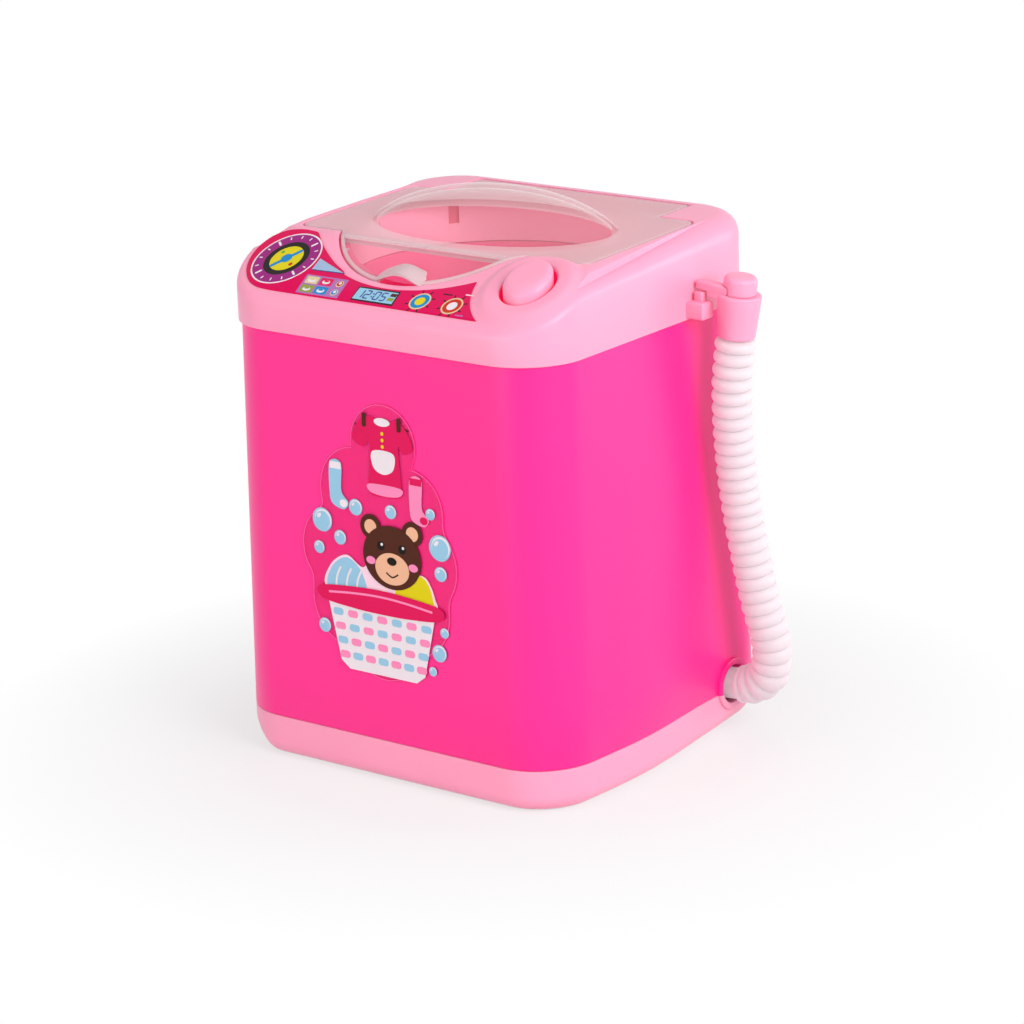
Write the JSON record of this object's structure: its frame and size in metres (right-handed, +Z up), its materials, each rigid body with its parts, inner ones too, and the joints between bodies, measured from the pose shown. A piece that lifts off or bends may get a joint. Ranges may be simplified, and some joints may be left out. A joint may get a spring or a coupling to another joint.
{
  "type": "toy washing machine",
  "caption": "Top-loading toy washing machine with a hinged clear lid, a tub with a motor-driven agitator, a push button and a ribbed drain hose on its side.",
  "frame": {"origin": "on the flat underside, below the middle of the casing", "axes": "+Z up, -Y towards the front with the sticker and the control label, +X towards the drain hose"},
  "size_m": [0.1111, 0.0868, 0.1304],
  "materials": {
    "pale_plastic": "satin moulded, pale pink",
    "hot_plastic": "glossy moulded, hot pink",
    "tub_plastic": "satin moulded, mid pink",
    "lid_plastic": "clear, lightly frosted",
    "hose_plastic": "translucent milky white, ribbed",
    "label_film": "printed film, magenta",
    "sticker_film": "printed glossy film",
    "steel": "plated",
    "brass": "plain",
    "rubber": "black",
    "dark_plastic": "dark grey",
    "cell_film": "wrapped cell",
    "red_wire": "insulated wire"
  },
  "bodies": {
    "housing": {"base_tray": "pale_plastic", "battery_door": "pale_plastic", "battery_door_screw": "steel", "base_screw_1": "steel", "base_screw_2": "steel", "base_screw_3": "steel", "base_screw_4": "steel", "battery_1": "cell_film", "battery_2": "cell_film", "contact_plus": "brass", "contact_minus": "brass", "contact_link": "brass", "body_shell": "hot_plastic", "top_cover": "pale_plastic", "control_label": "label_film", "front_sticker": "sticker_film", "wash_tub": "tub_plastic", "tub_screw_1": "steel", "tub_screw_2": "steel", "tub_screw_3": "steel", "tub_screw_4": "steel", "motor_plate": "dark_plastic", "motor": "steel", "motor_screw_1": "steel", "motor_screw_2": "steel", "shaft_seal": "rubber", "button_spring": "steel", "power_switch": "dark_plastic", "drain_pipe": "hose_plastic", "supply_wire": "red_wire", "switch_wire": "red_wire", "return_wire": "rubber"},
    "lid": {"lid": "lid_plastic"},
    "button": {"push_button": "pale_plastic"},
    "agitator": {"agitator": "tub_plastic", "motor_shaft": "steel"},
    "hose": {"drain_hose": "hose_plastic", "hose_sleeve": "pale_plastic"},
    "stopper": {"hose_stopper": "pale_plastic"}
  },
  "joints": [
    {"name": "lid_hinge", "type": "hinge", "parent": "housing", "child": "lid", "pos_m": [0, 0.035, 0.1199], "axis": [-1, 0, 0], "range_deg": [0, 100]},
    {"name": "button_press", "type": "slide", "parent": "housing", "child": "button", "axis": [0, 0, -1], "range_m": [0, 0.002], "stiffness_N_per_m": 250, "springref_m": -0.0008, "deforming": ["button_spring"]},
    {"name": "agitator_spin", "type": "hinge", "parent": "housing", "child": "agitator", "pos_m": [0, 0.0026, 0.056], "axis": [0, 0, 1], "continuous": true},
    {"name": "hose_swing", "type": "hinge", "parent": "housing", "child": "hose", "pos_m": [0.0464, 0.0276, 0.0114], "axis": [-1, 0, 0], "range_deg": [0, 90]},
    {"name": "stopper_pull", "type": "slide", "parent": "hose", "child": "stopper", "axis": [0.108, 0, 0.9942], "range_m": [0, 0.008]}
  ]
}
